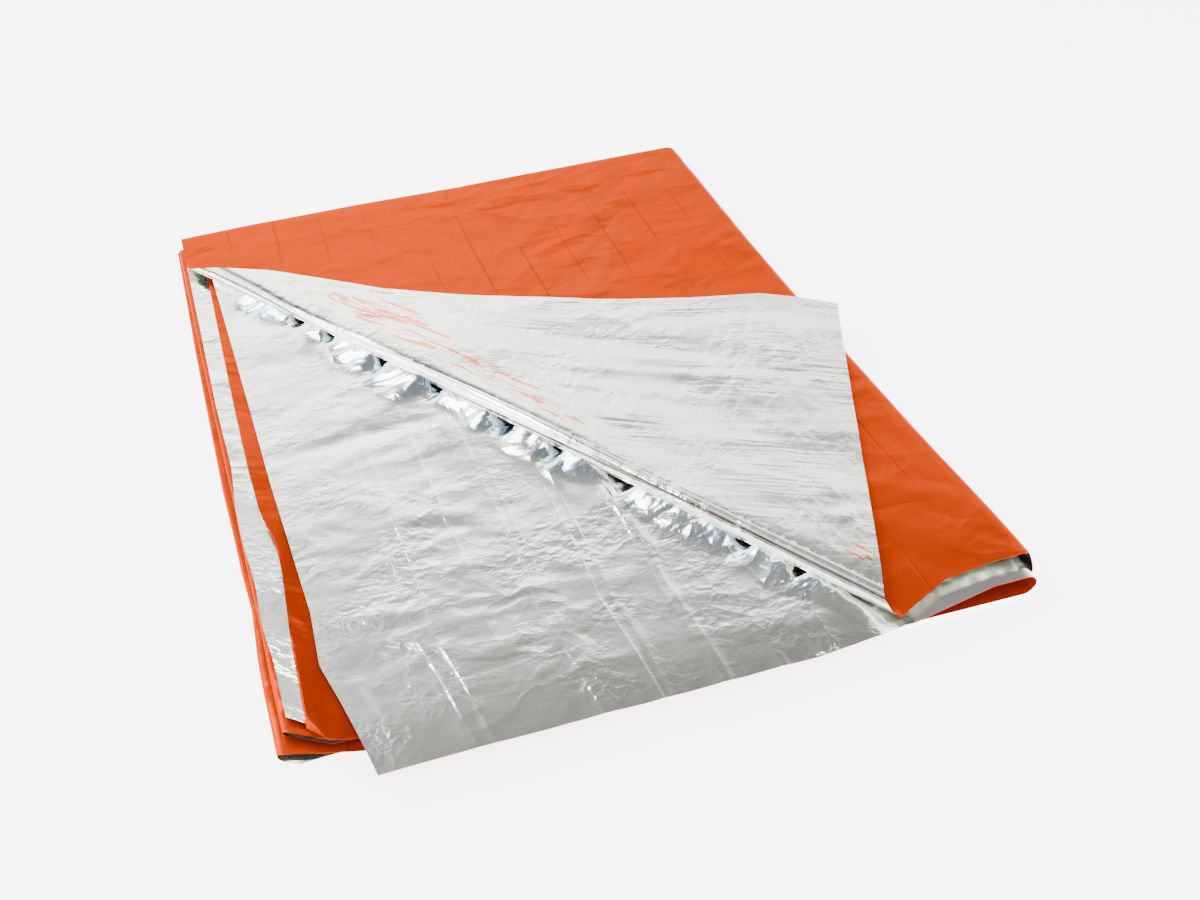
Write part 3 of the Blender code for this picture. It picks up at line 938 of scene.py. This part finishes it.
def silver_film_material():
    """Vacuum-metallised polyester film, its bright aluminium face.  It gives a mirror that wrinkles have
    broken up into pale and grey facets."""
    material, shader = new_material("aluminised_polyester_film")
    tree = material.node_tree
    places = sheet_places(tree)
    flap, worn = attribute(tree, "flap"), attribute(tree, "worn")
    # Wrinkles on the flap.
    wrinkles = crumple_height(tree, places, 11 * MM, 110 * MM)
    wrinkles = product(tree, wrinkles, patches(tree, places, 85 * MM))
    on_flap = bumped(tree, product(tree, wrinkles, flap), 0.7 * MM)
    # Pillows between creases on the pack, large ones with small ones over them, both in patches.
    large = product(tree, pillow_height(tree, places, 42 * MM, 27 * MM), patches(tree, places, 130 * MM))
    on_pack = bumped(tree, product(tree, large, worn), 1.3 * MM, on_flap)
    small = product(tree, pillow_height(tree, places, 19 * MM, 13 * MM), patches(tree, places, 70 * MM))
    on_pack = bumped(tree, product(tree, small, worn), 0.6 * MM, on_pack)
    # Packing creases, 3 mm wide, deeper in patches.
    packed = ramped(tree, attribute(tree, "packet"), 0.5, 1.0)
    packed = product(tree, packed, math_node(tree, "ADD", patches(tree, places, 110 * MM), 0.25))
    on_pack = bumped(tree, packed, 0.2 * MM, on_pack)
    # Grooves along the roll, 2 mm to 3 mm wide.
    turn = attribute(tree, "turn")
    for middle, half in ROLL_GROOVES:
        on_pack = bumped(tree, beside_line(tree, turn, middle, half), 0.45 * MM, on_pack)
    # Facets beside the roll, and then the marks of handling.
    crumple = attribute(tree, "crumple")
    sharp = product(tree, crumple_height(tree, places, 48 * MM, 30 * MM), crumple)
    facets_seen = bumped(tree, sharp, 3.8 * MM, on_pack)
    creases = product(tree, crumple_height(tree, places, 13 * MM, 9 * MM), patches(tree, places, 55 * MM))
    marks = bumped(tree, product(tree, creases, worn), 0.75 * MM, facets_seen)
    # Painted reflection of cool light from above, drawn on the film that climbs to the roll.
    cool = product(tree, crumple, patches(tree, places, 30 * MM))
    base = mixed(tree, cool, SILVER, MIRRORED_COOL_LIGHT)
    # Painted reflection: the orange side mirrored in the flap's wrinkles, drawn on as streaks along the
    # sheet.
    streaks = crumple_height(tree, turned_places(tree, places), 60 * MM, 7 * MM)
    seen = product(tree, math_node(tree, "ADD", streaks, 0.02), attribute(tree, "painted_orange_reflection"))
    base = mixed(tree, ramped(tree, seen, 0.05, 0.062, kind="LINEAR"), base, MIRRORED_ORANGE)
    # Painted reflections along the roll: thin dark lines for the grey ceiling and the orange edge that it
    # mirrors.
    for middle, half, first, last, line_colour in PAINTED_ROLL_REFLECTIONS:
        off_line = beside_line(tree, turn, middle, half)
        off_end = beside_line(tree, attribute(tree, "along"), (first + last) / 2, (last - first) / 2)
        on_line = math_node(tree, "SUBTRACT", 1.0, off_line)
        within = math_node(tree, "SUBTRACT", 1.0, math_node(tree, "POWER", off_end, 5.0))
        base = mixed(tree, product(tree, on_line, within), base, line_colour)
    tree.links.new(base, shader.inputs["Base Color"])
    shader.inputs["Metallic"].default_value = 1.0
    shader.inputs["Roughness"].default_value = SILVER_ROUGHNESS
    tree.links.new(marks, shader.inputs["Normal"])
    return material


def beside_line(tree, place, middle, half):
    """0 on a line where the place is at this middle, rising to 1 at this far from it."""
    off = math_node(tree, "ABSOLUTE", math_node(tree, "SUBTRACT", place, middle), 0.0)
    return ramped(tree, off, 0.0, half)


def turned_places(tree, places):
    """The sheet's places turned so that the roll's crease runs along the first of them."""
    _, along, _, _ = crease_frame()
    angle = -math.atan2(along[1], along[0])
    return scaled_places(tree, places, 1.0, 1.0, angle)


def orange_film_material():
    """The same film's back, coated with orange ink.  It gives a deep orange with a satin sheen, darker along
    the packing creases, with painted shade in the gap at the left."""
    material, shader = new_material("orange_coated_polyester_film")
    tree = material.node_tree
    places = sheet_places(tree)
    # Slow creases, then pillows in patches, then fine creases.
    slow = bumped(tree, crumple_height(tree, places, 80 * MM, 70 * MM), 1.8 * MM)
    large = product(tree, pillow_height(tree, places, 60 * MM, 38 * MM), patches(tree, places, 150 * MM))
    slow = bumped(tree, large, 0.9 * MM, slow)
    fine = bumped(tree, crumple_height(tree, places, 12 * MM, 9 * MM), 0.05 * MM, slow)
    # Packing creases, 3 mm wide, where the ink is worn darker.
    groove = packing_grooves(tree, places)
    creased = bumped(tree, product(tree, groove, -1.0), 0.25 * MM, fine)
    ink = mixed(tree, product(tree, groove, 0.6), ORANGE_INK, WORN_INK)
    # Painted shade: the strip under the second layer's left edge, drawn darker for the shadow of that edge
    # and the dark gap that it mirrors.
    ink = mixed(tree, product(tree, attribute(tree, "shade"), 0.8), ink, PAINTED_SHADE_INK)
    tree.links.new(ink, shader.inputs["Base Color"])
    shader.inputs["Metallic"].default_value = ORANGE_METALLIC
    shader.inputs["Roughness"].default_value = ORANGE_ROUGHNESS
    shader.inputs["Specular IOR Level"].default_value = 0.0
    shader.inputs["Specular Tint"].default_value = linear(ORANGE_SHEEN)
    tree.links.new(creased, shader.inputs["Normal"])
    return material


def packing_grooves(tree, places):
    """Up to 1 on the straight creases that the packet left across the sheet, deeper in patches, and 0
    beside them."""
    along = add_node(tree, "ShaderNodeSeparateXYZ", None, {"Vector": places}).outputs[0]
    off = beside_line(tree, math_node(tree, "PINGPONG", along, PACKET_PITCH / 2), 0.0, 1.7 * MM)
    return product(tree, math_node(tree, "SUBTRACT", 1.0, off), patches(tree, places, 120 * MM))


def floor_material():
    """Matt white paper.  It gives a plain pale ground."""
    material, shader = new_material("matt_white_paper")
    shader.inputs["Base Color"].default_value = linear(PAPER)
    shader.inputs["Roughness"].default_value = PAPER_ROUGHNESS
    shader.inputs["Emission Color"].default_value = linear("#FFFFFF")
    shader.inputs["Emission Strength"].default_value = PAPER_GLOW
    return material


# ---------------------------------------------------------------------------------------------
# Floor, light and camera
# ---------------------------------------------------------------------------------------------

FLOOR_SIZE = 14.0
# The walls are bright low down and fall to a grey ceiling.  The left hand wall is the brightest, and the
# right hand and near walls are the dimmest.
STUDIO_WALLS = (
    # height as the sine of the angle above the horizon, light
    (0.0, 0.7),
    (0.46, 1.0),
    (0.55, 0.60),
    (0.64, 0.26),
    (0.70, 0.18),
    (0.77, 0.125),
    (0.86, 0.08),
    (1.0, 0.07),
)
STUDIO_SIDES = (
    # left to right, light
    (0.05, 1.0),
    (0.30, 0.70),
    (0.60, 0.62),
    (0.70, 0.41),
)
STUDIO_DEPTH = (
    # near to far, light
    (0.30, 0.35),
    (0.60, 1.0),
)
WALL_LIGHT = 8.0
LIGHTS = (
    # name, place, side of its square, power
    ("overhead", (-1.2, 1.08, 2.08), 1.35, 80),
    ("front", (0.6, -1.5, 2.3), 1.6, 90),
)
CAMERA_PLACE = (-0.2435, -0.8816, 0.6385)
CAMERA_TURN = (52.113, 0.261, -18.995)  # degrees about x, y and z
CAMERA_LENS = 38.907
CAMERA_SENSOR = 36.0


def make_floor():
    """A plain pale floor under the pack."""
    mesh = bpy.data.meshes.new("floor")
    half = FLOOR_SIZE / 2
    corners = [(-half, -half, 0), (half, -half, 0), (half, half, 0), (-half, half, 0)]
    mesh.from_pydata(corners, [], [(0, 1, 2, 3)])
    mesh.materials.append(floor_material())
    floor = place_in_scene("floor", mesh)


def light_ramp(tree, place, rows):
    """A ramp of greys over one number."""
    ramp = add_node(tree, "ShaderNodeValToRGB", None, {0: place})
    while len(ramp.color_ramp.elements) < len(rows):
        ramp.color_ramp.elements.new(0.5)
    for element, (position, light) in zip(ramp.color_ramp.elements, rows):
        element.position = position
        element.color = (light, light, light, 1.0)
    return ramp.outputs[0]


def make_world():
    """The studio round the pack: white walls up to the ceiling, which is a darker grey."""
    world = bpy.data.worlds.new("studio")
    bpy.context.scene.world = world
    world.use_nodes = True
    tree = world.node_tree
    tree.nodes.clear()
    ways = add_node(tree, "ShaderNodeTexCoord")
    parts = add_node(tree, "ShaderNodeSeparateXYZ", None, {0: ways.outputs["Generated"]})
    light = light_ramp(tree, parts.outputs["Z"], STUDIO_WALLS)
    for way, rows in (("X", STUDIO_SIDES), ("Y", STUDIO_DEPTH)):
        share = ramped(tree, parts.outputs[way], -1.0, 1.0, kind="LINEAR")
        light = product(tree, light, light_ramp(tree, share, rows))
    background = add_node(tree, "ShaderNodeBackground", None, {"Color": light, "Strength": WALL_LIGHT})
    output = add_node(tree, "ShaderNodeOutputWorld")
    tree.links.new(background.outputs[0], output.inputs[0])


def make_light(name, place, size, power):
    """A soft square light at a place, aimed at the middle of the pack's underside."""
    light = bpy.data.lights.new(name, "AREA")
    light.shape = "SQUARE"
    light.size = size
    light.energy = power
    lamp = bpy.data.objects.new(name, light)
    lamp.location = place
    lamp.rotation_euler = (-Vector(place)).to_track_quat("-Z", "Y").to_euler()
    bpy.context.scene.collection.objects.link(lamp)


def make_camera():
    """The camera, above the near left corner."""
    camera = bpy.data.cameras.new("camera")
    camera.sensor_width = CAMERA_SENSOR
    camera.lens = CAMERA_LENS
    holder = bpy.data.objects.new("camera", camera)
    holder.location = CAMERA_PLACE
    holder.rotation_euler = Euler([math.radians(angle) for angle in CAMERA_TURN])
    bpy.context.scene.collection.objects.link(holder)
    bpy.context.scene.camera = holder


def main():
    film = make_film()
    film.data.materials.append(orange_film_material())
    film.data.materials.append(silver_film_material())
    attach(film, "root")
    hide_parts("blanket")

    make_floor()
    make_world()
    for name, place, size, power in LIGHTS:
        make_light(name, place, size, power)
    make_camera()


main()
